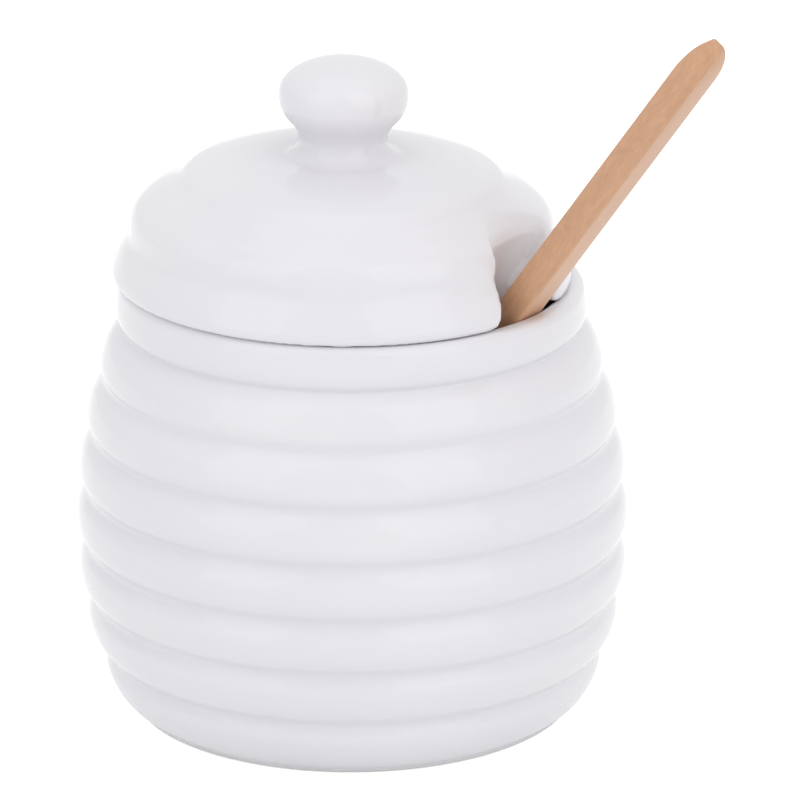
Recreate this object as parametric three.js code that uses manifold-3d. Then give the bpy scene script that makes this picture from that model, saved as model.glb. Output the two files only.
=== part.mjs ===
// Porcelain honey jar with a beehive body, a lift-off lid and a wooden honey dipper.
// Millimetres, +Z up. The origin is the centre of the jar's underside, on the table.

import * as THREE from 'three';
import { mergeVertices } from 'three/addons/utils/BufferGeometryUtils.js';
import Module from 'manifold-3d';

const wasm = await Module();
wasm.setup();

// Jar body: the smooth curve that the rib crests touch
const bellyRadius = 55.1;
const bellyHeight = 40;
const baseCurveRadius = 45.8;
const shoulderRadius = 47.6;
const lowerSweepShare = 2.45;
const upperSweepShare = 1.9;

// Jar body: ribs of the beehive
const ribCount = 8;
const ribPitch = 11.25;
const footRibHeight = 11.9;
const ribDepth = 2.5;
const ribRoundnessShare = 2.9;

// Jar body: foot, wall and floor
const footRadius = 42.8;
const footEdge = 0.6;
const thinnestWall = 3.4;
const floorThickness = 5.5;
const insideCorner = 13;

// Jar body: band and rolled lip above the top groove; the mouth leans a little down towards +X
const rimBandHeight = 8.9;
const rimCrestRadius = 46.8;
const rimOuterRadius = 46.0;
const rimRound = 2.2;
const mouthRadius = 41.8;
const mouthRound = 1.9;
const mouthTilt = 0.95;

// Lid: seat, locating flange and wall; the lid stands a little off centre within its play
const seatGap = 0.3;
const lidSideways = -1.9;
const lidSeatRadius = 44.6;
const lidWall = 3.8;
const flangeDepth = 5.2;
const flangeWall = 3.2;
const flangePlay = 2.3;
const flangeRound = 0.8;

// Lid: grooves and crest of its ribs, as radius and rise above the seat
const lidRimRadius = 45.4;
const lidRimRise = 1.7;
const lowGrooveRadius = 41.8;
const lowGrooveRise = 8.5;
const highGrooveRadius = 31.0;
const highGrooveRise = 21.7;
const crownRise = 25.0;

// Lid: sagitta of each rib as a share of its chord, and how far the middle rib swells low down
const rimRibBulgeShare = 0.05;
const middleRibBulgeShare = 0.13;
const middleRibSag = 1.3;
const crownBulgeShare = 0.05;
const rimRibSteps = 3;
const middleRibSteps = 7;
const crownSteps = 4;

// Lid: knob, a bun that is fuller below its widest height than above it
const neckRadius = 8.4;
const neckFillet = 1.9;
const knobRadius = 12.8;
const knobRise = 37.8;
const knobUpper = 6.9;
const knobLower = 9.0;
const knobSteps = 12;

// Lid: notch for the dipper, an arch pressed into its side whose back leans out
const notchAzimuth = -30;
const notchHalfWidth = 11;
const notchHeight = 17.8;
const notchBackRadius = 30.6;
const notchBackRound = 9;
const notchBackHalfWidth = 14.5;
const notchBackLean = 17.2;
const notchWall = 3.4;

// Dipper: where the handle crosses the lip, and its lean from the vertical
const dipperAzimuth = -34.5;
const dipperLean = 36.35;
const lipClearance = 0.25;

// Dipper: flat-sided handle
const handleWidth = 8.8;
const handleThickness = 5.8;
const handleArris = 0.5;
const handleReach = 75.5;
const tipRound = 6.8;
const tipBluntness = 2.5;
const tenonRadius = 2.5;
const tenonLength = 9;

// Dipper: turned head
const headLength = 34;
const headRadius = 12.5;
const headNeckRadius = 4.7;
const headNeckLength = 4;
const headGrooveCount = 7;
const headGrooveDepth = 4.6;
const headFloorGap = 0.3;
const socketPlay = 0.3;

// Dipper: how far the head's ends close in, and where each disc and groove lies in its pitch
const ballFlatShare = 0.82;
const headTipShare = 0.7;
const discShares = [0.1, 0.5];
const grooveShares = [0.6, 1];

// Facets and cuts
const jarSteps = 40;
const lidSteps = 48;
const headSteps = 24;
const arcSteps = 4;
const tipSteps = 14;
const notchSteps = 10;
const overrun = 5;
const weldDistance = 0.0001;

const bodyGlaze = new THREE.MeshStandardMaterial({ color: 0xe5e4e9, roughness: 0.08 });
const lidGlaze = new THREE.MeshStandardMaterial({ color: 0xe4e3e8, roughness: 0.08 });
const beech = new THREE.MeshStandardMaterial({ color: 0xd2a078, roughness: 0.55 });
const turnedBeech = new THREE.MeshStandardMaterial({ color: 0xcc9870, roughness: 0.6 });

const { degToRad } = THREE.MathUtils;
const at = (radius, height) => new THREE.Vector2(radius, height);

const topGrooveHeight = footRibHeight + (ribCount - 2) * ribPitch;
const jarHeight = topGrooveHeight + rimBandHeight;
const seatHeight = jarHeight + seatGap;

// Radius of the curve over the rib crests, at a height above the table
function crestCurve(height) {
  if (height < bellyHeight) {
    const fall = (bellyHeight - height) / bellyHeight;
    return bellyRadius - (bellyRadius - baseCurveRadius) * fall ** lowerSweepShare;
  }
  const rise = (height - bellyHeight) / (topGrooveHeight - bellyHeight);
  return bellyRadius - (bellyRadius - shoulderRadius) * rise ** upperSweepShare;
}

// Points up one rib that starts in the groove at a height
function ribPoints(grooveHeight, heightShares) {
  return heightShares.map((share) => {
    const height = grooveHeight + share * ribPitch;
    const sink = Math.abs(2 * share - 1) ** ribRoundnessShare;
    return at(crestCurve(height) - ribDepth * sink, height);
  });
}

// A quarter of an ellipse from one point to another, leaving the first one along the radius or the height
function quarter(from, to, leavesAlongRadius) {
  const points = [];
  for (let i = 1; i <= arcSteps; i += 1) {
    const turn = (i / arcSteps) * (Math.PI / 2);
    const early = Math.sin(turn);
    const late = 1 - Math.cos(turn);
    const radial = leavesAlongRadius ? early : late;
    const vertical = leavesAlongRadius ? late : early;
    points.push(at(from.x + (to.x - from.x) * radial, from.y + (to.y - from.y) * vertical));
  }
  return points;
}

// A shallow arc between two points that swells outwards by a share of its chord, more at its start with a sag
function swell(from, to, bulgeShare, sag, steps) {
  const along = to.clone().sub(from);
  const outward = at(along.y, -along.x).multiplyScalar(bulgeShare);
  const points = [];
  for (let i = 1; i <= steps; i += 1) {
    const share = i / steps;
    const height = (1 - (2 * share - 1) ** 2) * (1 + sag * (1 - 2 * share));
    points.push(from.clone().addScaledVector(along, share).addScaledVector(outward, height));
  }
  return points;
}

// A solid turned about +Z, from a profile that runs along its underside and back over its top
function turned(profile, steps) {
  return new THREE.LatheGeometry(profile, steps).rotateX(Math.PI / 2);
}

// The turned jar with everything above its top groove leaning with the mouth
function mouthLeaned(geometry) {
  const vertices = geometry.attributes.position;
  const slope = Math.tan(degToRad(mouthTilt));
  for (let i = 0; i < vertices.count; i += 1) {
    const share = (vertices.getZ(i) - topGrooveHeight) / rimBandHeight;
    if (share > 0) vertices.setZ(i, vertices.getZ(i) - share * slope * vertices.getX(i));
  }
  return geometry;
}

// A closed geometry as a solid for cutting and joining
function solidOf(geometry) {
  const bare = geometry.clone();
  for (const name of Object.keys(bare.attributes)) {
    if (name !== 'position') bare.deleteAttribute(name);
  }
  const welded = mergeVertices(bare, weldDistance);
  const corners = Array.from(welded.index.array);
  const kept = [];
  for (let i = 0; i < corners.length; i += 3) {
    const [a, b, c] = corners.slice(i, i + 3);
    if (a !== b && b !== c && c !== a) kept.push(a, b, c);
  }
  const vertProperties = new Float32Array(welded.attributes.position.array);
  const triVerts = new Uint32Array(kept);
  return new wasm.Manifold(new wasm.Mesh({ numProp: 3, vertProperties, triVerts }));
}

// A solid as a geometry with flat faces
function geometryOf(solid) {
  const { vertProperties, triVerts } = solid.getMesh();
  const indexed = new THREE.BufferGeometry();
  indexed.setAttribute('position', new THREE.BufferAttribute(vertProperties, 3));
  indexed.setIndex(new THREE.BufferAttribute(triVerts, 1));
  const geometry = indexed.toNonIndexed();
  geometry.computeVertexNormals();
  return geometry;
}

function namedMesh(name, geometry, material) {
  const mesh = new THREE.Mesh(geometry, material);
  mesh.name = name;
  return mesh;
}

// Jar body, thrown hollow with a flat dry foot
function jarBody() {
  const footRibShares = [0.06, 0.2, 0.42, 0.66, 0.87];
  const ribShares = [0, 0.13, 0.35, 0.65, 0.87];
  const rimCrestShare = 0.36;
  const lastGrooveRadius = crestCurve(topGrooveHeight) - ribDepth;
  const rimEdgeHeight = jarHeight - rimRound;
  const rimCrest = at(rimCrestRadius, topGrooveHeight + rimCrestShare * rimBandHeight);

  const profile = [at(0, 0), at(footRadius, 0), at(footRadius + 2 * footEdge, footEdge)];
  profile.push(...ribPoints(footRibHeight - ribPitch, footRibShares));
  for (let rib = 1; rib < ribCount - 1; rib += 1) {
    profile.push(...ribPoints(footRibHeight + (rib - 1) * ribPitch, ribShares));
  }
  profile.push(at(lastGrooveRadius, topGrooveHeight));
  profile.push(...quarter(at(lastGrooveRadius, topGrooveHeight), rimCrest, true));
  const lipOutside = at(rimOuterRadius, rimEdgeHeight);
  const lipTop = at(rimOuterRadius - rimRound, jarHeight);
  const mouthTop = at(mouthRadius + mouthRound, jarHeight);
  profile.push(lipOutside, ...quarter(lipOutside, lipTop, false));
  profile.push(mouthTop, ...quarter(mouthTop, at(mouthRadius, jarHeight - mouthRound), true));

  // The inside follows the outside at the wall's thickness and ends in a rounded corner
  const wallInset = ribDepth + thinnestWall;
  const insideStart = floorThickness + insideCorner;
  const insideShares = [0.94, 0.72, 0.5, 0.3, 0.14, 0];
  for (const share of insideShares) {
    const height = insideStart + share * (topGrooveHeight - insideStart);
    profile.push(at(crestCurve(height) - wallInset, height));
  }
  const wallFoot = profile[profile.length - 1];
  profile.push(...quarter(wallFoot, at(wallFoot.x - insideCorner, floorThickness), false));
  profile.push(at(0, floorThickness));
  return namedMesh('jar_body', geometryOf(solidOf(mouthLeaned(turned(profile, jarSteps)))), bodyGlaze);
}

// Outline of the lid's hollow, from the axis down to the foot of the flange
function lidHollow() {
  const flangeInside = mouthRadius - flangePlay - flangeWall;
  const insideCrown = crownRise - lidWall;
  const shares = [[0, 1], [0.27, 0.98], [0.54, 0.9], [0.79, 0.73], [0.94, 0.42], [1, 0.12]];
  const profile = shares.map(([across, up]) => at(across * flangeInside, up * insideCrown));
  profile.push(at(flangeInside, -flangeDepth + flangeRound));
  profile.push(at(flangeInside + flangeRound, -flangeDepth));
  return profile;
}

// Outline of the lid's outside, from the foot of the flange round the rim to the top of the knob
function lidOutside() {
  const flangeRadius = mouthRadius - flangePlay;
  const profile = [];
  profile.push(at(flangeRadius - flangeRound, -flangeDepth));
  profile.push(at(flangeRadius, -flangeDepth + flangeRound));
  profile.push(at(flangeRadius, 0));
  profile.push(at(lidSeatRadius, 0));

  const rimCrest = at(lidRimRadius, lidRimRise);
  const lowGroove = at(lowGrooveRadius, lowGrooveRise);
  const highGroove = at(highGrooveRadius, highGrooveRise);
  const crownEdge = at(neckRadius + neckFillet, crownRise);
  profile.push(...quarter(at(lidSeatRadius, 0), rimCrest, true));
  profile.push(...swell(rimCrest, lowGroove, rimRibBulgeShare, 0, rimRibSteps));
  profile.push(...swell(lowGroove, highGroove, middleRibBulgeShare, middleRibSag, middleRibSteps));
  profile.push(...swell(highGroove, crownEdge, crownBulgeShare, 0, crownSteps));
  profile.push(...quarter(crownEdge, at(neckRadius, crownRise + neckFillet), true));

  // The knob's lower half is cut off where the neck enters it
  const neckTurn = -Math.acos(neckRadius / knobRadius);
  for (let i = 0; i <= knobSteps; i += 1) {
    const turn = neckTurn + (i / knobSteps) * (Math.PI / 2 - neckTurn);
    const radius = i < knobSteps ? knobRadius * Math.cos(turn) : 0;
    const half = turn < 0 ? knobLower : knobUpper;
    profile.push(at(radius, knobRise + half * Math.sin(turn)));
  }
  return profile;
}

// Room of the notch, grown by a wall: an uneven arch that flares at the rim, with a round leaning back
function notchRoom(wall) {
  const flareShares = [[1.25, 0], [1.17, 0.08], [1.08, 0.18], [0.98, 0.36]];
  const rightShares = [[0.98, 0.62], [0.95, 0.76], [0.82, 0.84], [0.52, 0.9], [0.18, 0.95]];
  const leftShares = [[0.93, 0.62], [0.9, 0.76], [0.82, 0.85], [0.64, 0.92], [0.4, 0.96], [0.14, 0.97]];
  const floor = -flangeDepth - overrun;
  const halfWidth = notchHalfWidth + wall;
  const height = notchHeight + wall;
  const outside = lidRimRadius + overrun;
  const footHalfWidth = flareShares[0][0] * halfWidth;
  const right = [...flareShares, ...rightShares].map(([across, up]) => at(across * halfWidth, up * height));
  const left = [...flareShares, ...leftShares].map(([across, up]) => at(-across * halfWidth, up * height));
  const foot = [at(-footHalfWidth, floor), at(footHalfWidth, floor)];
  const arch = new THREE.Shape([...foot, ...right, ...left.reverse()]);
  const through = new THREE.ExtrudeGeometry(arch, { depth: outside, bevelEnabled: false });
  through.rotateX(Math.PI / 2).rotateZ(Math.PI / 2);

  // The plan is a half-ellipse at the back and open towards the outside
  const backCentre = notchBackRadius - wall + notchBackRound;
  const backHalfWidth = notchBackHalfWidth + wall;
  const plan = new THREE.Shape();
  plan.moveTo(outside, -backHalfWidth);
  plan.lineTo(outside, backHalfWidth);
  plan.absellipse(backCentre, 0, notchBackRound, backHalfWidth, Math.PI / 2, 1.5 * Math.PI, false);
  plan.closePath();
  const tall = { depth: height - floor, curveSegments: notchSteps, bevelEnabled: false };
  const upright = new THREE.ExtrudeGeometry(plan, tall).translate(0, 0, floor);
  const lean = Math.tan(degToRad(notchBackLean));
  upright.applyMatrix4(new THREE.Matrix4().makeShear(0, 0, 0, 0, lean, 0));

  const turn = degToRad(notchAzimuth);
  return solidOf(through.rotateZ(turn)).intersect(solidOf(upright.rotateZ(turn)));
}

// Lid with its knob, one fired piece that sits in the mouth by its flange, walled round its notch
function lid() {
  const outside = lidOutside();
  const shell = solidOf(turned([...lidHollow(), ...outside], lidSteps));
  const filled = solidOf(turned([at(0, -flangeDepth), ...outside], lidSteps));
  const notched = shell.add(notchRoom(notchWall).intersect(filled)).subtract(notchRoom(0));
  const mesh = namedMesh('lid', geometryOf(notched), lidGlaze);
  const tilt = degToRad(mouthTilt);
  mesh.rotation.y = tilt;
  mesh.position.set(lidSideways, 0, seatHeight - lidSideways * Math.tan(tilt));
  return mesh;
}

// Outline of a bar from its shoulder to a tip that closes in as half a blunt ellipse
function tippedOutline(halfWidth, shoulder) {
  const tipStart = handleReach - tipRound;
  const corners = [at(-halfWidth, shoulder), at(halfWidth, shoulder)];
  for (let i = 0; i <= tipSteps; i += 1) {
    const turn = (i / tipSteps) * Math.PI;
    const across = Math.sign(Math.cos(turn)) * Math.abs(Math.cos(turn)) ** (2 / tipBluntness);
    const along = Math.abs(Math.sin(turn)) ** (2 / tipBluntness);
    corners.push(at(halfWidth * across, tipStart + tipRound * along));
  }
  return new THREE.Shape(corners);
}

// Flat-sided handle along +Z with its underside towards +X, and a round tenon at its foot
function dipperHandle(shoulder) {
  const halfThick = handleThickness / 2;
  const halfWide = handleWidth / 2;
  const plain = { bevelEnabled: false };

  const sideOutline = tippedOutline(halfThick, shoulder);
  const side = new THREE.ExtrudeGeometry(sideOutline, { ...plain, depth: handleWidth });
  side.rotateX(Math.PI / 2).translate(0, halfWide, 0);
  const faceOutline = tippedOutline(halfWide, shoulder);
  const face = new THREE.ExtrudeGeometry(faceOutline, { ...plain, depth: handleThickness });
  face.rotateX(Math.PI / 2).rotateZ(Math.PI / 2).translate(-halfThick, 0, 0);

  const section = new THREE.Shape();
  section.moveTo(halfThick - handleArris, -halfWide);
  section.lineTo(halfThick, handleArris - halfWide);
  section.lineTo(halfThick, halfWide - handleArris);
  section.lineTo(halfThick - handleArris, halfWide);
  section.lineTo(handleArris - halfThick, halfWide);
  section.lineTo(-halfThick, halfWide - handleArris);
  section.lineTo(-halfThick, handleArris - halfWide);
  section.lineTo(handleArris - halfThick, -halfWide);
  section.closePath();
  const length = handleReach - shoulder;
  const arrises = new THREE.ExtrudeGeometry(section, { ...plain, depth: length }).translate(0, 0, shoulder);

  const tenonReach = tenonLength + tenonRadius;
  const tenon = new THREE.CylinderGeometry(tenonRadius, tenonRadius, tenonReach, headSteps / 2);
  tenon.rotateX(Math.PI / 2).translate(0, 0, shoulder + tenonRadius - tenonReach / 2);
  const bar = solidOf(side).intersect(solidOf(face)).intersect(solidOf(arrises));
  return namedMesh('dipper_handle', geometryOf(bar.add(solidOf(tenon))), beech);
}

// Outline of the turned head, hanging down from its top at a height on its own axis
function headProfile(top) {
  const foot = top - headLength;
  const ballLength = headLength - headNeckLength;
  const discPitch = ballLength / (headGrooveCount + 1);
  const ballCurve = (height) => {
    const share = (height - foot) / (ballLength / 2) - 1;
    return headRadius * Math.sqrt(1 - ballFlatShare * share ** 2);
  };
  const profile = [at(0, foot), at(headTipShare * ballCurve(foot), foot)];
  for (let disc = 0; disc <= headGrooveCount; disc += 1) {
    const low = foot + disc * discPitch;
    for (const share of discShares) {
      profile.push(at(ballCurve(low + share * discPitch), low + share * discPitch));
    }
    if (disc === headGrooveCount) break;
    for (const share of grooveShares) {
      profile.push(at(ballCurve(low + share * discPitch) - headGrooveDepth, low + share * discPitch));
    }
  }
  const socketRadius = tenonRadius + socketPlay;
  const socketFloor = top - tenonLength - 2 * socketPlay;
  profile.push(at(headNeckRadius, top - headNeckLength));
  profile.push(at(headNeckRadius, top), at(socketRadius, top));
  profile.push(at(socketRadius, socketFloor), at(0, socketFloor));
  return profile;
}

// Turned head along +Z with its grooves, and a socket for the tenon
function dipperHead(top) {
  return namedMesh('dipper_head', geometryOf(solidOf(turned(headProfile(top), headSteps))), turnedBeech);
}

// Dipper, leaning out over the lip with its head on the jar's floor
function dipper() {
  const lean = degToRad(dipperLean);
  const standOff = mouthRound + lipClearance + handleThickness / 2;
  const lipRadius = mouthRadius + mouthRound;
  const lipDrop = lipRadius * Math.cos(degToRad(dipperAzimuth)) * Math.tan(degToRad(mouthTilt));
  const lipCentre = at(lipRadius, jarHeight - mouthRound - lipDrop);
  const crossing = at(lipCentre.x - standOff * Math.cos(lean), lipCentre.y + standOff * Math.sin(lean));

  // The head's lowest edge, below the head's top, once it leans
  const reach = Math.min(...headProfile(0).map((p) => p.y * Math.cos(lean) - p.x * Math.sin(lean)));
  const headTop = (floorThickness + headFloorGap - crossing.y - reach) / Math.cos(lean);

  const leaning = new THREE.Group();
  leaning.add(dipperHead(headTop), dipperHandle(headTop + socketPlay));
  leaning.rotation.y = lean;
  leaning.position.set(crossing.x, 0, crossing.y);
  const turnedRound = new THREE.Group();
  turnedRound.rotation.z = degToRad(dipperAzimuth);
  turnedRound.add(leaning);
  return turnedRound;
}

const honeyJar = new THREE.Group();
honeyJar.add(jarBody(), lid(), dipper());

export default honeyJar;
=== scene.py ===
"""Porcelain honey jar with a lift-off lid and a wooden dipper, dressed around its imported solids.

Metres, +Z up, the origin at the centre of the jar's underside. The photograph looks along +Y.
"""

import math

import bmesh
import bpy
from bpy.props import FloatProperty, FloatVectorProperty, PointerProperty
from mathutils import Matrix, Vector
from mathutils.bvhtree import BVHTree


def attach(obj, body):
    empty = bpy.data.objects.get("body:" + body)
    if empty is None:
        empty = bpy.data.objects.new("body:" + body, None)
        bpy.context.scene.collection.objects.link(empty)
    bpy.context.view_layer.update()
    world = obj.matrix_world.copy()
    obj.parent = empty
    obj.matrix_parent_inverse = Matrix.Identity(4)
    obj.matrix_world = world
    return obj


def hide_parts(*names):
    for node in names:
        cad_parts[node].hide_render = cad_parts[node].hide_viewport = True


bl_info = {
    "name": "Porcelain honey jar",
    "version": (1, 0, 0),
    "blender": (4, 5, 0),
    "location": "View3D > Sidebar > Honey Jar",
    "description": "Builds a beehive honey jar, its notched lid, its wooden dipper and a white stage",
    "category": "Object",
}

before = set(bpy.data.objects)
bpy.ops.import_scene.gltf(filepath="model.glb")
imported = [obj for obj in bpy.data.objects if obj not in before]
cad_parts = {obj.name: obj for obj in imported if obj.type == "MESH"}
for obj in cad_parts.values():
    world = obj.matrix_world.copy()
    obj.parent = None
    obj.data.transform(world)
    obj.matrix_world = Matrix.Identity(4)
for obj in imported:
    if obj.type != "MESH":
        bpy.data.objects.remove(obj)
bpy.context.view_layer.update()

MM = 0.001
TAU = 2 * math.pi

# Jar body: the curve over the rib crests, and its ribs
BELLY_RADIUS = 55 * MM
BELLY_HEIGHT = 40 * MM
BASE_RADIUS = 45.7 * MM
SHOULDER_RADIUS = 47.5 * MM
LOWER_SWEEP = 2.45
UPPER_SWEEP = 1.9
RIB_COUNT = 8
RIB_PITCH = 11.25 * MM
FOOT_RIB_TOP = 11.9 * MM
FOOT_RADIUS = 42.8 * MM
FOOT_RING = 4 * MM  # Width of the ring round the flat underside
FOOT_ROUND = 1.2 * MM
INSET = 5.9 * MM  # From the curve over the crests to the inside
JAR_FLOOR = 5.5 * MM
INSIDE_CORNER = 13 * MM
INSIDE_STEPS = (0.94, 0.86, 0.78, 0.7, 0.6, 0.5, 0.4, 0.3, 0.22, 0.14, 0.07, 0)
PROFILE_STEP = 0.5 * MM
JAR_TURN_STEPS = 192

# Jar body: band and rolled lip
BAND_HEIGHT = 8.9 * MM
BAND_RADIUS = 46.7 * MM
BAND_CREST_SHARE = 0.36
BAND_BULGE = 0.015
LIP_RADIUS = 46.3 * MM
LIP_ROUND = 2 * MM
MOUTH_RADIUS = 41.8 * MM
MOUTH_ROUND = 1.4 * MM
MOUTH_TILT = math.radians(0.95)

# Lid
SEAT_GAP = 0.18 * MM
LID_SIDEWAYS = -1.9 * MM
SEAT_RADIUS = 45 * MM
LID_WALL = 3.8 * MM
FLANGE_DEPTH = 5.2 * MM
FLANGE_WALL = 3.2 * MM
FLANGE_PLAY = 2.3 * MM
FLANGE_ROUND = 0.8 * MM
LID_RIM = (45.4 * MM, 1.7 * MM)
LOW_GROOVE = (41.8 * MM, 8.5 * MM)
HIGH_GROOVE = (31 * MM, 21.7 * MM)
CROWN_RISE = 25 * MM
RIM_BULGE = 0.05
MIDDLE_BULGE = 0.13
MIDDLE_SAG = 1.3
CROWN_BULGE = 0.05
NECK_RADIUS = 8.4 * MM
NECK_FILLET = 3.8 * MM
KNOB_RADIUS = 12.8 * MM
KNOB_RISE = 37.8 * MM
KNOB_UPPER = 6.9 * MM
KNOB_LOWER = 9.6 * MM
KNOB_FULLNESS = 0.55 * MM
KNOB_STEPS = 40
BEND_END = 25  # The bend at the foot of the knob is softened up to this point, less and less
BEND_FADE = 12
LID_TURN_STEPS = 256
SKIN_TURN_STEPS = 512

# The hollow under the dome: shares of its radius and of its rise
LID_HOLLOW = (
    (0, 1), (0.14, 0.995), (0.27, 0.98), (0.41, 0.945), (0.54, 0.9), (0.68, 0.83),
    (0.79, 0.73), (0.88, 0.6), (0.94, 0.42), (0.98, 0.26), (1, 0.12),
)

# Notch pressed into the lid, in millimetres: height, its half width on the left and on the right,
# and the radius of its back
NOTCH_AZIMUTH = math.radians(-30)
NOTCH_ARCH = (
    (-10.2, 13.3, 6.1, 28.5), (-5, 13.3, 6.1, 31.6), (0, 13.2, 6.1, 33.2), (1.4, 12.5, 6.3, 33.6),
    (3.2, 11.5, 7.5, 34.1), (6.4, 10.4, 10, 34.9), (11, 9.8, 12.1, 36.2), (12.3, 9.5, 12.4, 36.6),
    (13.6, 9.2, 12.3, 36.9), (14.4, 8.7, 11.6, 37), (15.2, 8, 10.3, 36.9), (16, 6.9, 7.8, 36.5),
    (16.7, 5.7, 4.8, 35.9), (17.3, 4.1, 1.6, 35.2), (17.8, 2.6, -1.4, 34.4),
)
NOTCH_BACK_ROUND = 9 * MM
NOTCH_BACK_HALF_WIDTH = 14.5 * MM
NOTCH_BACK_FLATNESS = 4
NOTCH_BACK_STEPS = 32
NOTCH_HALF_WIDTH = 11 * MM
NOTCH_OVERSHOOT = 5 * MM
NOTCH_WALL = 3.4 * MM
NOTCH_EDGE = 1.7 * MM  # Width of the soft edge round the notch

# How the lid's skin is made: the filled lid that trims the notch's wall is a little smaller and higher than
# the dome, points this near the notch may leave the turned skin, and two remeshes follow each other
FILLED_SHRINK = 0.6 * MM
FILLED_RAISE = 0.15 * MM
LID_VOXEL = 0.58 * MM
NOTCH_REACH = 2.6 * MM
EDGE_REACH = 1.5 * MM
SKIN_REACH = 0.35 * MM
SAME_PLACE = 0.001 * MM
REMESHES = ((8, 3), (5, 0))  # Passes of smoothing, then rounds on the soft edge

# Dipper
DIPPER_AZIMUTH = math.radians(-34.5)
DIPPER_LEAN = math.radians(36.35)
REST_ROUND = 1.9 * MM  # Rounding of the solid lip, on which the dipper's place is worked out
LIP_CLEARANCE = 0.3 * MM
HANDLE_WIDTH = 8.76 * MM
HANDLE_THICKNESS = 5.76 * MM
HANDLE_ARRIS = 0.75 * MM
HANDLE_REACH = 75.4 * MM
TIP_ROUND = 9 * MM
TIP_BLUNTNESS = (3.2, 2)
BAR_FOOT_ROUND = 0.3 * MM
BAR_STEPS = 60
TIP_STEPS = 32
TENON_RADIUS = 2.5 * MM
TENON_LENGTH = 9 * MM
HEAD_LENGTH = 34 * MM
HEAD_RADIUS = 12.4 * MM
HEAD_NECK_RADIUS = 4.7 * MM
HEAD_NECK_LENGTH = 4 * MM
HEAD_GROOVES = 7
HEAD_GROOVE_DEPTH = 4.6 * MM
HEAD_FLOOR_GAP = 0.35 * MM
HEAD_CLOSING = 0.82
HEAD_EDGE = 0.45 * MM
SOCKET_PLAY = 0.3 * MM
FLECK_STRENGTH = 0.08

# Stage: each softbox's place and size, the floor, and the photograph's camera
LEFT_BOX = ((-1.05, -0.95, 0.8), (1.0, 1.9))
RIGHT_BOX = ((0.85, -1.06, 0.8), (1.1, 1.9))
TOP_BOX = ((0, -0.15, 1.6), (1.5, 1.5))
LAMP_COLOUR = (1, 0.995, 0.99)
LAMP_AIM = (0, 0, 0.06)
FLOOR_RADIUS = 4
FLOOR_DROP = 0.05 * MM
FLOOR_COLOUR = (0.94, 0.94, 0.94, 1)
CAMERA_LENS = 315
CAMERA_ELEVATION = math.radians(19.6)
CAMERA_DISTANCE = 1.4
CAMERA_ROLL = 0.006
CAMERA_MIDDLE = (0, 0, 44.35 * MM)
CAMERA_OFFSET = (9.5 * MM, 17.04 * MM)

TOP_GROOVE = FOOT_RIB_TOP + (RIB_COUNT - 2) * RIB_PITCH
JAR_HEIGHT = TOP_GROOVE + BAND_HEIGHT
SEAT_HEIGHT = JAR_HEIGHT + SEAT_GAP


class JarLook(bpy.types.PropertyGroup):
    rib_depth: FloatProperty(
        name="Rib Depth", description="Depth of the grooves between the ribs",
        default=2.5 * MM, unit="LENGTH",
    )
    rib_roundness: FloatProperty(
        name="Rib Roundness", description="Higher makes fuller ribs and narrower grooves", default=2.9,
    )
    groove_softness: FloatProperty(
        name="Groove Softness", description="How far the glaze rounds the grooves",
        default=0.5 * MM, unit="LENGTH",
    )
    glaze: FloatVectorProperty(
        name="Glaze", description="Colour of the porcelain", default=(0.775, 0.766, 0.802), subtype="COLOR",
    )
    glaze_roughness: FloatProperty(
        name="Glaze Roughness", description="Roughness of the porcelain glaze",
        default=0.09, subtype="FACTOR",
    )


class DipperLook(bpy.types.PropertyGroup):
    wood: FloatVectorProperty(
        name="Wood", description="Colour of the beech", default=(0.6, 0.335, 0.19), subtype="COLOR",
    )
    wood_roughness: FloatProperty(
        name="Wood Roughness", description="Roughness of the sanded wood", default=0.45, subtype="FACTOR",
    )
    wax: FloatProperty(
        name="Wax", description="How much wax lies on the wood", default=0.35, subtype="FACTOR",
    )


class StageLook(bpy.types.PropertyGroup):
    world: FloatProperty(name="Room Light", description="Strength of the white room", default=0.83)
    left_box: FloatProperty(
        name="Left Softbox", description="Power of the left softbox", default=2.5, unit="POWER",
    )
    right_box: FloatProperty(
        name="Right Softbox", description="Power of the right softbox", default=3.8, unit="POWER",
    )
    top_box: FloatProperty(
        name="Top Softbox", description="Power of the softbox overhead", default=2.2, unit="POWER",
    )
    floor_glow: FloatProperty(
        name="Floor Glow", description="White that the floor adds for the camera", default=0.66,
    )
    floor_shine: FloatProperty(
        name="Floor Shine", description="White that the floor adds in reflections", default=0.3,
    )


def point(radius, height):
    return Vector((radius, 0, height))


def crest_radius(height):
    """Radius of the smooth curve over the rib crests."""
    if height < BELLY_HEIGHT:
        fall = (BELLY_HEIGHT - height) / BELLY_HEIGHT
        return BELLY_RADIUS - (BELLY_RADIUS - BASE_RADIUS) * fall**LOWER_SWEEP
    rise = (height - BELLY_HEIGHT) / (TOP_GROOVE - BELLY_HEIGHT)
    return BELLY_RADIUS - (BELLY_RADIUS - SHOULDER_RADIUS) * rise**UPPER_SWEEP


def quarter(start, end, leaves_along_radius, steps):
    """Points on a quarter of an ellipse, without its start."""
    points = []
    for i in range(1, steps + 1):
        turn = i / steps * math.pi / 2
        early, late = math.sin(turn), 1 - math.cos(turn)
        radial, vertical = (early, late) if leaves_along_radius else (late, early)
        points.append(point(start.x + (end.x - start.x) * radial, start.z + (end.z - start.z) * vertical))
    return points


def swell(start, end, bulge, sag, steps):
    """Points on a shallow arc that bulges outwards by a share of its chord, without its start."""
    along = end - start
    outward = point(along.z, -along.x) * bulge
    points = []
    for i in range(1, steps + 1):
        share = i / steps
        height = (1 - (2 * share - 1) ** 2) * (1 + sag * (1 - 2 * share))
        points.append(start + along * share + outward * height)
    return points


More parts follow.
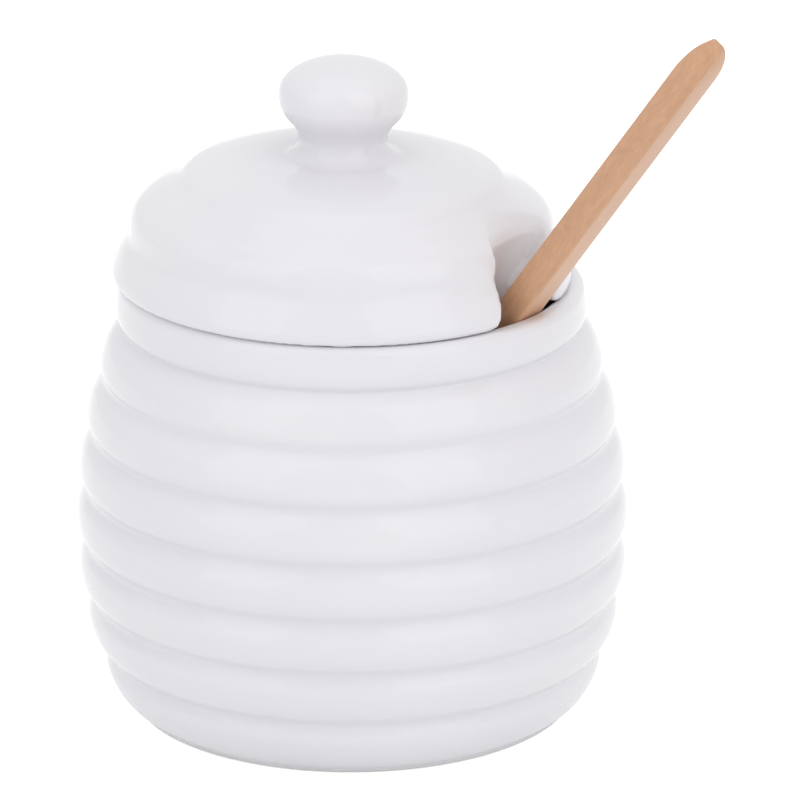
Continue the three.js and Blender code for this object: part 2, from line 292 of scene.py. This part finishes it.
def softened(points, reach, passes):
    """The same outline with its corners rounded, its ends kept."""
    for _ in range(passes):
        kept = [points[0]]
        for before, here, after in zip(points, points[1:], points[2:]):
            middle = (before + after) / 2
            kept.append(here.lerp(middle, reach))
        kept.append(points[-1])
        points = kept
    return points


def turned(profile, steps):
    """A bmesh turned about +Z from a profile that runs along its underside and back over its top."""
    shape = bmesh.new()
    corners = [shape.verts.new(p) for p in profile]
    edges = [shape.edges.new(pair) for pair in zip(corners, corners[1:])]
    bmesh.ops.spin(
        shape, geom=corners + edges, cent=(0, 0, 0), axis=(0, 0, 1), dvec=(0, 0, 0),
        angle=TAU, steps=steps, use_merge=True, use_normal_flip=False, use_duplicate=False,
    )
    bmesh.ops.remove_doubles(shape, verts=shape.verts, dist=0.01 * MM)
    bmesh.ops.recalc_face_normals(shape, faces=shape.faces)
    return shape


def lofted(rings):
    """A closed bmesh drawn through rings that have the same number of corners."""
    shape = bmesh.new()
    face = shape.faces.new([shape.verts.new(p) for p in rings[0]])
    for ring in rings[1:]:
        face = bmesh.ops.extrude_discrete_faces(shape, faces=[face])["faces"][0]
        for loop, place in zip(face.loops, ring):
            loop.vert.co = place
    bmesh.ops.holes_fill(shape, edges=[e for e in shape.edges if e.is_boundary], sides=0)
    bmesh.ops.recalc_face_normals(shape, faces=shape.faces)
    return shape


def new_piece(name, shape, material):
    """An object at the origin with smooth faces from a bmesh, which is freed."""
    mesh = bpy.data.meshes.new(name)
    shape.to_mesh(mesh)
    shape.free()
    mesh.shade_smooth()
    if material:
        mesh.materials.append(material)
    piece = bpy.data.objects.new(name, mesh)
    bpy.context.scene.collection.objects.link(piece)
    return piece


def settled(piece):
    """The piece's mesh with its modifiers applied."""
    graph = bpy.context.evaluated_depsgraph_get()
    mesh = bpy.data.meshes.new_from_object(piece.evaluated_get(graph))
    piece.modifiers.clear()
    piece.data = mesh
    mesh.shade_smooth()
    return mesh


def dipper_place():
    """The turn and place of the dipper, whose own axis is +Z and which crosses the lip at its origin."""
    stand_off = REST_ROUND + LIP_CLEARANCE + HANDLE_THICKNESS / 2
    lip_radius = MOUTH_RADIUS + REST_ROUND
    lip_drop = lip_radius * math.cos(DIPPER_AZIMUTH) * math.tan(MOUTH_TILT)
    lip_height = JAR_HEIGHT - REST_ROUND - lip_drop
    crossing = point(
        lip_radius - stand_off * math.cos(DIPPER_LEAN), lip_height + stand_off * math.sin(DIPPER_LEAN),
    )
    turn = Matrix.Rotation(DIPPER_AZIMUTH, 4, "Z")
    return crossing, turn @ Matrix.Translation(crossing) @ Matrix.Rotation(DIPPER_LEAN, 4, "Y")


def head_profile(top):
    """Outline of the turned head below its top, on its own axis."""
    foot = top - HEAD_LENGTH
    ball = HEAD_LENGTH - HEAD_NECK_LENGTH
    pitch = ball / (HEAD_GROOVES + 1)

    def ball_radius(height):
        share = (height - foot) / (ball / 2) - 1
        return HEAD_RADIUS * math.sqrt(1 - HEAD_CLOSING * share**2)

    profile = [point(0, foot), point(0.7 * ball_radius(foot), foot)]
    for disc in range(HEAD_GROOVES + 1):
        low = foot + disc * pitch
        lower, crown, upper = low + 0.02 * pitch, low + 0.28 * pitch, low + 0.54 * pitch
        profile.append(point(ball_radius(lower) - HEAD_EDGE, lower))
        profile.append(point(ball_radius(crown) - 0.1 * HEAD_EDGE, low + 0.1 * pitch))
        profile.append(point(ball_radius(crown), crown))
        profile.append(point(ball_radius(crown) - 0.1 * HEAD_EDGE, low + 0.46 * pitch))
        profile.append(point(ball_radius(upper) - HEAD_EDGE, upper))
        if disc == HEAD_GROOVES:
            break
        for share in (0.64, 0.78, 0.92):
            groove = low + share * pitch
            profile.append(point(ball_radius(groove) - HEAD_GROOVE_DEPTH, groove))
    profile.append(point(HEAD_NECK_RADIUS + 0.5 * MM, top - HEAD_NECK_LENGTH))
    profile.append(point(HEAD_NECK_RADIUS, top - 0.8 * HEAD_NECK_LENGTH))
    profile += [point(HEAD_NECK_RADIUS, top - 0.4 * MM), point(HEAD_NECK_RADIUS - 0.4 * MM, top)]
    socket = TENON_RADIUS + SOCKET_PLAY
    bottom = top - TENON_LENGTH - 2 * SOCKET_PLAY
    profile += [point(socket, top), point(socket, bottom), point(0, bottom)]
    return profile


def head_top():
    """Height of the head's top on the dipper's axis when its lowest edge is just above the floor."""
    crossing, _ = dipper_place()
    lean = DIPPER_LEAN
    lowest = min(p.z * math.cos(lean) - p.x * math.sin(lean) for p in head_profile(0))
    return (JAR_FLOOR + HEAD_FLOOR_GAP - crossing.z - lowest) / math.cos(lean)


def new_material(name):
    """A material with its node tree and its shader."""
    material = bpy.data.materials.new(name)
    material.use_nodes = True
    return material, material.node_tree, material.node_tree.nodes["Principled BSDF"]


def mapped(tree, value, before, after):
    """A value whose range is mapped to another."""
    node = tree.nodes.new("ShaderNodeMapRange")
    for name, held in zip(("From Min", "From Max", "To Min", "To Max"), before + after):
        node.inputs[name].default_value = held
    tree.links.new(value, node.inputs["Value"])
    return node.outputs["Result"]


def combined(tree, operation, first, second):
    """Two values combined, of which the second may be a number."""
    node = tree.nodes.new("ShaderNodeMath")
    node.operation = operation
    tree.links.new(first, node.inputs[0])
    if isinstance(second, (int, float)):
        node.inputs[1].default_value = second
    else:
        tree.links.new(second, node.inputs[1])
    return node.outputs["Value"]


def noise(tree, place, scale, detail, roughness=0.5):
    """The value of a noise texture at a place."""
    node = tree.nodes.new("ShaderNodeTexNoise")
    for name, held in (("Scale", scale), ("Detail", detail), ("Roughness", roughness)):
        node.inputs[name].default_value = held
    tree.links.new(place, node.inputs["Vector"])
    return node.outputs["Fac"]


def tinted(tree, value, colour, *stops):
    """A colour that changes with a value: each stop has its position and what the colour is multiplied by."""
    node = tree.nodes.new("ShaderNodeValToRGB")
    for element, (position, factors) in zip(node.color_ramp.elements, stops):
        element.position = position
        element.color = [part * factor for part, factor in zip(colour, factors)] + [1]
    tree.links.new(value, node.inputs["Fac"])
    return node.outputs["Color"]


def bump(tree, height, strength, distance):
    """A bump node on a height."""
    node = tree.nodes.new("ShaderNodeBump")
    node.inputs["Strength"].default_value = strength
    node.inputs["Distance"].default_value = distance
    tree.links.new(height, node.inputs["Height"])
    return node


def glaze_material(name, dry_below, dry_above):
    """White porcelain glaze, slightly uneven, that ends between two heights above a dry foot or seat."""
    look = bpy.context.scene.honey_jar
    material, tree, shader = new_material(name)
    shader.inputs["IOR"].default_value = 1.52
    place = tree.nodes.new("ShaderNodeTexCoord").outputs["Object"]

    # Faint clouds where the glaze lies thicker
    clouds = noise(tree, place, 28, 2)
    thin, thick = (0.35, (0.985, 0.985, 0.99)), (0.7, (1.012, 1.01, 1.006))
    tone = tinted(tree, clouds, look.glaze, thin, thick)

    # The dry foot or seat, where the piece stood in the kiln
    split = tree.nodes.new("ShaderNodeSeparateXYZ")
    tree.links.new(place, split.inputs["Vector"])
    under = mapped(tree, split.outputs["Z"], (dry_above, dry_below), (0, 1))
    dry = tree.nodes.new("ShaderNodeMix")
    dry.data_type = "RGBA"
    dry.inputs["B"].default_value = (0.78, 0.755, 0.72, 1)
    tree.links.new(under, dry.inputs["Factor"])
    tree.links.new(tone, dry.inputs["A"])
    tree.links.new(dry.outputs["Result"], shader.inputs["Base Color"])

    # Gloss, a little uneven, and rough where dry
    smoothest, roughest = look.glaze_roughness * 0.8, look.glaze_roughness * 1.25
    gloss = mapped(tree, clouds, (0.3, 0.75), (smoothest, roughest))
    rough = tree.nodes.new("ShaderNodeMix")
    rough.data_type = "FLOAT"
    rough.inputs["B"].default_value = 0.8
    tree.links.new(under, rough.inputs["Factor"])
    tree.links.new(gloss, rough.inputs["A"])
    tree.links.new(rough.outputs["Result"], shader.inputs["Roughness"])

    # Slow waves of a poured glaze, and very fine orange peel
    waves = bump(tree, noise(tree, place, 55, 1.5), 0.35, 0.25 * MM)
    peel = bump(tree, noise(tree, place, 600, 2), 0.12, 0.02 * MM)
    tree.links.new(waves.outputs["Normal"], peel.inputs["Normal"])
    tree.links.new(peel.outputs["Normal"], shader.inputs["Normal"])
    return material


def wood_material(name, tint):
    """Waxed beech: soft grain with short dark flecks along it, read from the piece's own grain attribute."""
    look = bpy.context.scene.honey_dipper
    material, tree, shader = new_material(name)
    shader.inputs["Coat Weight"].default_value = look.wax
    shader.inputs["Coat Roughness"].default_value = 0.32
    place = tree.nodes.new("ShaderNodeAttribute")
    place.attribute_name = "grain"

    def stretched(scale, detail, roughness):
        mapping = tree.nodes.new("ShaderNodeMapping")
        mapping.inputs["Scale"].default_value = scale
        tree.links.new(place.outputs["Vector"], mapping.inputs["Vector"])
        return noise(tree, mapping.outputs["Vector"], 1, detail, roughness)

    # Broad tone along the grain
    broad = stretched((330, 330, 22), 2, 0.5)
    wood = [part * factor for part, factor in zip(look.wood, tint)]
    base = tinted(tree, broad, wood, (0.32, (0.95, 0.92, 0.89)), (0.7, (1.04, 1.06, 1.09)))

    # Fine mottled grain, and short flecks, the rays of beech
    fine = stretched((1500, 1500, 420), 3, 0.7)
    lines = mapped(tree, fine, (0.4, 0.62), (0.94, 1.04))
    rays = stretched((2100, 2100, 520), 1, 0.4)
    flecks = mapped(tree, rays, (0.66, 0.74), (1, 1 - FLECK_STRENGTH))
    colour = tree.nodes.new("ShaderNodeVectorMath")
    colour.operation = "SCALE"
    tree.links.new(base, colour.inputs[0])
    tree.links.new(combined(tree, "MULTIPLY", lines, flecks), colour.inputs["Scale"])
    tree.links.new(colour.outputs["Vector"], shader.inputs["Base Color"])

    # The sanded surface
    smoothest, roughest = look.wood_roughness - 0.05, look.wood_roughness + 0.1
    gloss = mapped(tree, fine, (0, 1), (smoothest, roughest))
    tree.links.new(gloss, shader.inputs["Roughness"])
    sanded = bump(tree, fine, 0.3, 0.06 * MM)
    tree.links.new(sanded.outputs["Normal"], shader.inputs["Normal"])
    return material


class HONEYJAR_OT_jar_body(bpy.types.Operator):
    """Build the ribbed porcelain jar"""

    bl_idname = "honeyjar.jar_body"
    bl_label = "Jar Body"

    def execute(self, context):
        look = context.scene.honey_jar

        def rib_radius(height):
            share = ((height - FOOT_RIB_TOP) / RIB_PITCH) % 1
            return crest_radius(height) - look.rib_depth * abs(2 * share - 1) ** look.rib_roundness

        # Up the outside in even steps, with the grooves softened by the glaze
        count = round((TOP_GROOVE - FOOT_ROUND) / PROFILE_STEP)
        heights = [FOOT_ROUND + (TOP_GROOVE - FOOT_ROUND) * i / count for i in range(count + 1)]
        ribs = [point(rib_radius(z), z) for z in heights]
        band_crest = point(BAND_RADIUS, TOP_GROOVE + BAND_CREST_SHARE * BAND_HEIGHT)
        lip_outside = point(LIP_RADIUS, JAR_HEIGHT - LIP_ROUND)
        band = quarter(ribs[-1], band_crest, True, 9)
        band += swell(band_crest, lip_outside, BAND_BULGE, 0, 8)
        outside = softened(ribs + band, 0.5, round((look.groove_softness / PROFILE_STEP) ** 2 * 4))

        profile = [point(0, 0), point(FOOT_RADIUS - FOOT_RING, 0), point(FOOT_RADIUS, 0)]
        profile += quarter(point(FOOT_RADIUS, 0), outside[0], True, 4)[:-1]
        profile += outside
        lip_top = point(LIP_RADIUS - LIP_ROUND, JAR_HEIGHT)
        profile += quarter(lip_outside, lip_top, False, 8)
        mouth_top = point(MOUTH_RADIUS + MOUTH_ROUND, JAR_HEIGHT)
        profile += [mouth_top] + quarter(mouth_top, point(MOUTH_RADIUS, JAR_HEIGHT - MOUTH_ROUND), True, 8)

        # Down the inside and over the floor to the axis
        start = JAR_FLOOR + INSIDE_CORNER
        for share in INSIDE_STEPS:
            height = start + share * (TOP_GROOVE - start)
            profile.append(point(crest_radius(height) - INSET, height))
        profile += quarter(profile[-1], point(profile[-1].x - INSIDE_CORNER, JAR_FLOOR), False, 8)
        profile += [point(profile[-1].x / 2, JAR_FLOOR), point(0, JAR_FLOOR)]

        # The band leans with the mouth, more and more towards its top
        shape = turned(profile, JAR_TURN_STEPS)
        slope = math.tan(MOUTH_TILT)
        for vert in shape.verts:
            share = (vert.co.z - TOP_GROOVE) / BAND_HEIGHT
            if share > 0:
                vert.co.z -= share * slope * vert.co.x
        glaze = glaze_material("jar porcelain", dry_below=0.2 * MM, dry_above=0.9 * MM)
        piece = new_piece("beehive_jar", shape, glaze)
        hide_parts("jar_body")
        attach(piece, "jar")
        return {"FINISHED"}


def closed_distance(skin, place):
    """Distance from a closed skin, less than zero inside it, and the way out there."""
    home, facing, _, gap = skin.find_nearest(place)
    if gap < SAME_PLACE:
        return 0, facing

    # At an edge of the skin, all the faces that meet there say which side is out
    facing = sum((near[1] for near in skin.find_nearest_range(place, gap + SAME_PLACE)), Vector())
    way = (place - home) / gap
    return (gap, way) if way.dot(facing) > 0 else (-gap, -way)


def soft_edge(place, solid_skin, room_skin, steps):
    """The nearest place on the lid's skin where it runs over a rounded edge into the notch."""
    for _ in range(steps):
        out, out_way = closed_distance(solid_skin, place)
        hole, hole_way = closed_distance(room_skin, place)
        share = min(1, max(0, 0.5 + 0.5 * (out + hole) / NOTCH_EDGE))
        depth = out * share - hole * (1 - share) + NOTCH_EDGE * share * (1 - share)
        place = place - depth * (share * out_way - (1 - share) * hole_way).normalized()
    return place


class HONEYJAR_OT_lid(bpy.types.Operator):
    """Build the domed lid with its knob, flange and notch"""

    bl_idname = "honeyjar.lid"
    bl_label = "Lid"

    def hollow(self):
        """Outline of the hollow, from the axis down to the foot of the flange."""
        inside = MOUTH_RADIUS - FLANGE_PLAY - FLANGE_WALL
        rise = CROWN_RISE - LID_WALL
        points = softened([point(a * inside, b * rise) for a, b in LID_HOLLOW], 0.3, 2)
        points.append(point(inside, FLANGE_ROUND - FLANGE_DEPTH))
        return points + quarter(points[-1], point(inside + FLANGE_ROUND, -FLANGE_DEPTH), False, 4)

    def outside(self):
        """Outline of the outside, from the foot of the flange round the rim to the top of the knob."""
        flange = MOUTH_RADIUS - FLANGE_PLAY
        points = [point(flange - FLANGE_ROUND, -FLANGE_DEPTH)]
        points += quarter(points[-1], point(flange, FLANGE_ROUND - FLANGE_DEPTH), True, 4)
        points += [point(flange, 0), point(SEAT_RADIUS, 0)]
        crest, low, high = point(*LID_RIM), point(*LOW_GROOVE), point(*HIGH_GROOVE)
        crown_edge = point(NECK_RADIUS + NECK_FILLET, CROWN_RISE)
        points += quarter(points[-1], crest, True, 6)
        ribs = swell(crest, low, RIM_BULGE, 0, 18)
        ribs += swell(low, high, MIDDLE_BULGE, MIDDLE_SAG, 40)
        ribs += swell(high, crown_edge, CROWN_BULGE, 0, 40)
        points += softened([points[-1]] + ribs, 0.5, 8)[1:]

        # The neck's fillet and the knob over it, with the bend between them softened
        top = quarter(points[-1], point(NECK_RADIUS, CROWN_RISE + NECK_FILLET), True, 8)
        neck_turn = -math.acos(NECK_RADIUS / KNOB_RADIUS)
        for i in range(KNOB_STEPS + 1):
            turn = neck_turn + i / KNOB_STEPS * (math.pi / 2 - neck_turn)
            half = KNOB_LOWER if turn < 0 else KNOB_UPPER
            radius = KNOB_RADIUS * math.cos(turn) if i < KNOB_STEPS else 0
            if turn < 0:
                radius += KNOB_FULLNESS * math.sin(math.pi * (turn / neck_turn) ** 1.5)
            top.append(point(radius, KNOB_RISE + half * math.sin(turn)))
        for i, (sharp, soft) in enumerate(zip(top, softened(top, 0.5, 9))):
            points.append(sharp.lerp(soft, min(1, max(0, (BEND_END - i) / BEND_FADE))))
        return points

    def notch_room(self, wall):
        """The room of the notch, grown by a wall: an arch from the front, with a round back in plan."""
        levels = []
        for low, high in zip(NOTCH_ARCH, NOTCH_ARCH[1:]):
            for share in (0, 0.5):
                levels.append([a + (b - a) * share for a, b in zip(low, high)])
        levels.append(NOTCH_ARCH[-1])
        taller = 1 + wall / (NOTCH_ARCH[-1][0] * MM)
        wider = 1 + wall / NOTCH_HALF_WIDTH
        front = LID_RIM[0] + NOTCH_OVERSHOOT
        rings = []
        for z, left, right, back in levels:
            height = z * MM * (taller if z > 0 else 1)
            low, high = -left * MM * wider, right * MM * wider
            centre = back * MM - wall + NOTCH_BACK_ROUND
            ring = [Vector((front, low, height))]
            for i in range(NOTCH_BACK_STEPS + 1):
                across = low + (high - low) * (0.5 - 0.5 * math.cos(math.pi * i / NOTCH_BACK_STEPS))
                share = min(1, abs(across) / (NOTCH_BACK_HALF_WIDTH + wall))
                depth = NOTCH_BACK_ROUND * (1 - share**NOTCH_BACK_FLATNESS) ** (1 / NOTCH_BACK_FLATNESS)
                ring.append(Vector((centre - depth, across, height)))
            ring.append(Vector((front, high, height)))
            rings.append(ring)
        shape = lofted(rings)
        turn = Matrix.Rotation(NOTCH_AZIMUTH, 3, "Z")
        bmesh.ops.rotate(shape, verts=shape.verts, cent=(0, 0, 0), matrix=turn)
        return shape

    def fit(self, mesh, rounds, smooth_skin, solid_skin, room_skin):
        """Puts the points back on the turned skin, and round the notch on its soft edge."""
        shape = bmesh.new()
        shape.from_mesh(mesh)
        near = []
        for vert in shape.verts:
            if room_skin.find_nearest(vert.co)[3] < NOTCH_REACH:
                near.append(vert)
                continue
            home, _, _, drift = smooth_skin.find_nearest(vert.co)
            if drift < SKIN_REACH:
                vert.co = home

        def step(vert):
            return (soft_edge(vert.co, solid_skin, room_skin, 1) - vert.co).length

        edge = [vert for vert in near if rounds and step(vert) < EDGE_REACH]
        for _ in range(rounds):
            for _ in range(2):
                bmesh.ops.smooth_vert(
                    shape, verts=edge, factor=0.5, use_axis_x=True, use_axis_y=True, use_axis_z=True,
                )
            for vert in edge:
                vert.co = soft_edge(vert.co, solid_skin, room_skin, 2)
        shape.to_mesh(mesh)
        shape.free()

    def execute(self, context):
        outside = self.outside()
        closed_outside = [point(0, -FLANGE_DEPTH)] + outside
        room_shape = self.notch_room(0)
        room_skin = BVHTree.FromBMesh(room_shape)
        solid = turned(closed_outside, SKIN_TURN_STEPS)
        solid_skin = BVHTree.FromBMesh(solid)
        solid.free()
        whole = turned(self.hollow() + outside, LID_TURN_STEPS)
        smooth_skin = BVHTree.FromBMesh(whole)
        piece = new_piece("domed_lid", whole, None)
        room = new_piece("notch_room", room_shape, None)
        pocket = new_piece("notch_wall", self.notch_room(NOTCH_WALL), None)
        within = [point(max(0, p.x - FILLED_SHRINK), p.z + FILLED_RAISE) for p in closed_outside]
        filled = new_piece("filled_lid", turned(within, LID_TURN_STEPS), None)

        steps = ((pocket, "INTERSECT", filled), (piece, "UNION", pocket), (piece, "DIFFERENCE", room))
        for target, kind, other in steps:
            cut = target.modifiers.new(kind.title(), "BOOLEAN")
            cut.operation = kind
            cut.solver = "EXACT"
            cut.object = other
        for passes, rounds in REMESHES:
            even = piece.modifiers.new("Even", "REMESH")
            even.mode = "VOXEL"
            even.voxel_size = LID_VOXEL
            soft = piece.modifiers.new("Soft", "SMOOTH")
            soft.factor = 0.5
            soft.iterations = passes
            mesh = settled(piece)
            self.fit(mesh, rounds, smooth_skin, solid_skin, room_skin)
        for helper in (room, pocket, filled):
            bpy.data.objects.remove(helper)

        mesh.materials.clear()
        dry_below, dry_above = SEAT_HEIGHT - 6 * MM, SEAT_HEIGHT - 5.4 * MM
        mesh.materials.append(glaze_material("lid porcelain", dry_below, dry_above))
        lift = SEAT_HEIGHT - LID_SIDEWAYS * math.tan(MOUTH_TILT)
        mesh.transform(Matrix.Translation((LID_SIDEWAYS, 0, lift)) @ Matrix.Rotation(MOUTH_TILT, 4, "Y"))
        mesh.shade_smooth()
        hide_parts("lid")
        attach(piece, "lid")
        return {"FINISHED"}


def grained(piece, place):
    """Stores the piece's place along its own grain on its points, then puts it in its place."""
    mesh = piece.data
    grain = mesh.attributes.new("grain", "FLOAT_VECTOR", "POINT")
    for vert, held in zip(mesh.vertices, grain.data):
        held.vector = vert.co
    mesh.transform(place)


class HONEYJAR_OT_dipper_handle(bpy.types.Operator):
    """Build the flat-sided wooden handle with its rounded tip and its tenon"""

    bl_idname = "honeyjar.dipper_handle"
    bl_label = "Dipper Handle"

    def execute(self, context):
        _, place = dipper_place()
        shoulder = head_top() + SOCKET_PLAY
        outline = bmesh.new()
        bmesh.ops.create_grid(outline, x_segments=1, y_segments=1, size=0.5)
        bmesh.ops.scale(outline, verts=outline.verts, vec=(HANDLE_THICKNESS, HANDLE_WIDTH, 1))
        bmesh.ops.bevel(
            outline, geom=outline.verts[:], offset=HANDLE_ARRIS, segments=5, profile=0.5,
            affect="VERTICES", offset_type="OFFSET", material=-1,
        )
        section = [loop.vert.co.copy() for loop in next(iter(outline.faces)).loops]
        outline.free()

        # Even steps up the bar, then a tip whose section shrinks and turns from a rectangle to an oval
        tip_start = HANDLE_REACH - TIP_ROUND
        places = []
        for i in range(4):
            size = 0.94 + 0.06 * math.sqrt(1 - (1 - i / 3) ** 2)
            places.append((shoulder + BAR_FOOT_ROUND * i / 3, size, 0))
        start = shoulder + BAR_FOOT_ROUND
        for i in range(1, BAR_STEPS + 1):
            places.append((start + (tip_start - start) * i / BAR_STEPS, 1, 0))
        for i in range(1, TIP_STEPS):
            places.append((tip_start, 1, math.sin(math.pi / 2 * i / TIP_STEPS) ** 0.8))
        rings = []
        for height, size, up in places:
            thinner, narrower = ((1 - up**bluntness) ** (1 / bluntness) for bluntness in TIP_BLUNTNESS)
            ring = []
            for p in section:
                spread = math.hypot(2 * p.x / HANDLE_THICKNESS, 2 * p.y / HANDLE_WIDTH)
                part = size * (1 - up**2 + up**2 / spread)
                ring.append(Vector((p.x * part * thinner, p.y * part * narrower, height + TIP_ROUND * up)))
            rings.append(ring)
        piece = new_piece("dipper_bar", lofted(rings), wood_material("beech bar", (1, 1, 1)))
        grained(piece, place)
        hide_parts("dipper_handle")
        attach(piece, "dipper")

        tenon = bmesh.new()
        bmesh.ops.create_cone(
            tenon, cap_ends=True, segments=32, radius1=TENON_RADIUS, radius2=TENON_RADIUS, depth=TENON_LENGTH,
        )
        bmesh.ops.translate(tenon, verts=tenon.verts, vec=(0, 0, shoulder - TENON_LENGTH / 2 + 0.05 * MM))
        peg = new_piece("dipper_tenon", tenon, piece.data.materials[0])
        grained(peg, place)
        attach(peg, "dipper")
        return {"FINISHED"}


class HONEYJAR_OT_dipper_head(bpy.types.Operator):
    """Build the turned, grooved head of the dipper"""

    bl_idname = "honeyjar.dipper_head"
    bl_label = "Dipper Head"

    def execute(self, context):
        _, place = dipper_place()
        shape = turned(head_profile(head_top()), 96)
        piece = new_piece("dipper_comb", shape, wood_material("turned beech", (0.97, 0.95, 0.93)))
        grained(piece, place)
        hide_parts("dipper_head")
        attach(piece, "dipper")
        return {"FINISHED"}


class HONEYJAR_OT_stage(bpy.types.Operator):
    """Set the white floor, the soft light and the camera"""

    bl_idname = "honeyjar.stage"
    bl_label = "Stage"

    def execute(self, context):
        self.floor(context)
        self.room(context)
        look = context.scene.honey_stage
        self.softbox("left softbox", *LEFT_BOX, look.left_box)
        self.softbox("right softbox", *RIGHT_BOX, look.right_box)
        self.softbox("top softbox", *TOP_BOX, look.top_box)
        self.camera(context)
        context.scene.view_settings.view_transform = "Standard"
        return {"FINISHED"}

    def floor(self, context):
        shape = bmesh.new()
        bmesh.ops.create_circle(shape, cap_ends=True, segments=96, radius=FLOOR_RADIUS)
        bmesh.ops.translate(shape, verts=shape.verts, vec=(0, 0, -FLOOR_DROP))
        material, tree, shader = new_material("white floor")
        shader.inputs["Base Color"].default_value = FLOOR_COLOUR
        shader.inputs["Roughness"].default_value = 1
        shader.inputs["Specular IOR Level"].default_value = 0
        look = context.scene.honey_stage
        seen = tree.nodes.new("ShaderNodeLightPath").outputs
        share = look.floor_shine / look.floor_glow
        mirrored = combined(tree, "MULTIPLY", seen["Is Glossy Ray"], share)
        direct = combined(tree, "MAXIMUM", seen["Is Camera Ray"], seen["Is Transmission Ray"])
        either = combined(tree, "MAXIMUM", direct, mirrored)
        glow = combined(tree, "MULTIPLY", either, look.floor_glow)
        shader.inputs["Emission Color"].default_value = (1, 1, 1, 1)
        tree.links.new(glow, shader.inputs["Emission Strength"])
        piece = new_piece("floor", shape, material)

    def room(self, context):
        world = bpy.data.worlds.new("white room")
        context.scene.world = world
        world.use_nodes = True
        tree = world.node_tree
        light = tree.nodes["Background"]
        light.inputs["Color"].default_value = (1, 1, 1, 1)
        seen = tree.nodes.new("ShaderNodeLightPath").outputs
        either = combined(tree, "MAXIMUM", seen["Is Camera Ray"], seen["Is Transmission Ray"])
        shown = combined(tree, "MAXIMUM", either, seen["Is Glossy Ray"])
        level = tree.nodes.new("ShaderNodeMix")
        level.data_type = "FLOAT"
        level.inputs["A"].default_value = context.scene.honey_stage.world
        level.inputs["B"].default_value = 1
        tree.links.new(shown, level.inputs["Factor"])
        tree.links.new(level.outputs["Result"], light.inputs["Strength"])

    def softbox(self, name, place, size, power):
        lamp = bpy.data.lights.new(name, "AREA")
        lamp.shape = "RECTANGLE"
        lamp.size, lamp.size_y = size
        lamp.energy = power
        lamp.color = LAMP_COLOUR
        holder = bpy.data.objects.new(name, lamp)
        bpy.context.scene.collection.objects.link(holder)
        holder.location = place
        aim = Vector(LAMP_AIM) - Vector(place)
        holder.rotation_euler = aim.to_track_quat("-Z", "Y").to_euler()

    def camera(self, context):
        """The photograph's view, with the jar a little left of and below the middle."""
        lens = bpy.data.cameras.new("camera")
        lens.sensor_width = 36
        lens.lens = CAMERA_LENS
        lens.clip_start = 0.05
        eye = bpy.data.objects.new("camera", lens)
        context.scene.collection.objects.link(eye)
        middle = Vector(CAMERA_MIDDLE)
        back = Vector((0, -math.cos(CAMERA_ELEVATION), math.sin(CAMERA_ELEVATION)))
        level_right = Vector((1, 0, 0))
        level_up = back.cross(level_right)
        right = level_right * math.cos(CAMERA_ROLL) - level_up * math.sin(CAMERA_ROLL)
        up = level_up * math.cos(CAMERA_ROLL) + level_right * math.sin(CAMERA_ROLL)
        place = middle + back * CAMERA_DISTANCE
        aim = middle + right * CAMERA_OFFSET[0] + up * CAMERA_OFFSET[1]
        backwards = (place - aim).normalized()
        side = up.cross(backwards).normalized()
        above = backwards.cross(side)
        turn = Matrix((side, above, backwards)).transposed()
        eye.matrix_world = Matrix.Translation(place) @ turn.to_4x4()
        context.scene.camera = eye


class HONEYJAR_PT_panel(bpy.types.Panel):
    """Lists the pieces of the honey jar and the looks they share"""

    bl_idname = "HONEYJAR_PT_panel"
    bl_label = "Honey Jar"
    bl_space_type = "VIEW_3D"
    bl_region_type = "UI"
    bl_category = "Honey Jar"

    def draw(self, context):
        layout = self.layout
        scene = context.scene
        for group in (scene.honey_jar, scene.honey_dipper, scene.honey_stage):
            column = layout.column(align=True)
            for name in group.bl_rna.properties.keys():
                if name not in ("rna_type", "name"):
                    column.prop(group, name)
        for operator in OPERATORS:
            layout.operator(operator.bl_idname)


OPERATORS = (
    HONEYJAR_OT_stage,
    HONEYJAR_OT_jar_body,
    HONEYJAR_OT_lid,
    HONEYJAR_OT_dipper_handle,
    HONEYJAR_OT_dipper_head,
)
CLASSES = (JarLook, DipperLook, StageLook) + OPERATORS + (HONEYJAR_PT_panel,)


def register():
    for each in CLASSES:
        bpy.utils.register_class(each)
    bpy.types.Scene.honey_jar = PointerProperty(type=JarLook)
    bpy.types.Scene.honey_dipper = PointerProperty(type=DipperLook)
    bpy.types.Scene.honey_stage = PointerProperty(type=StageLook)


def unregister():
    del bpy.types.Scene.honey_stage
    del bpy.types.Scene.honey_dipper
    del bpy.types.Scene.honey_jar
    for each in reversed(CLASSES):
        bpy.utils.unregister_class(each)


def main():
    register()
    bpy.ops.honeyjar.stage()
    bpy.ops.honeyjar.jar_body()
    bpy.ops.honeyjar.lid()
    bpy.ops.honeyjar.dipper_handle()
    bpy.ops.honeyjar.dipper_head()


if __name__ == "__main__":
    main()
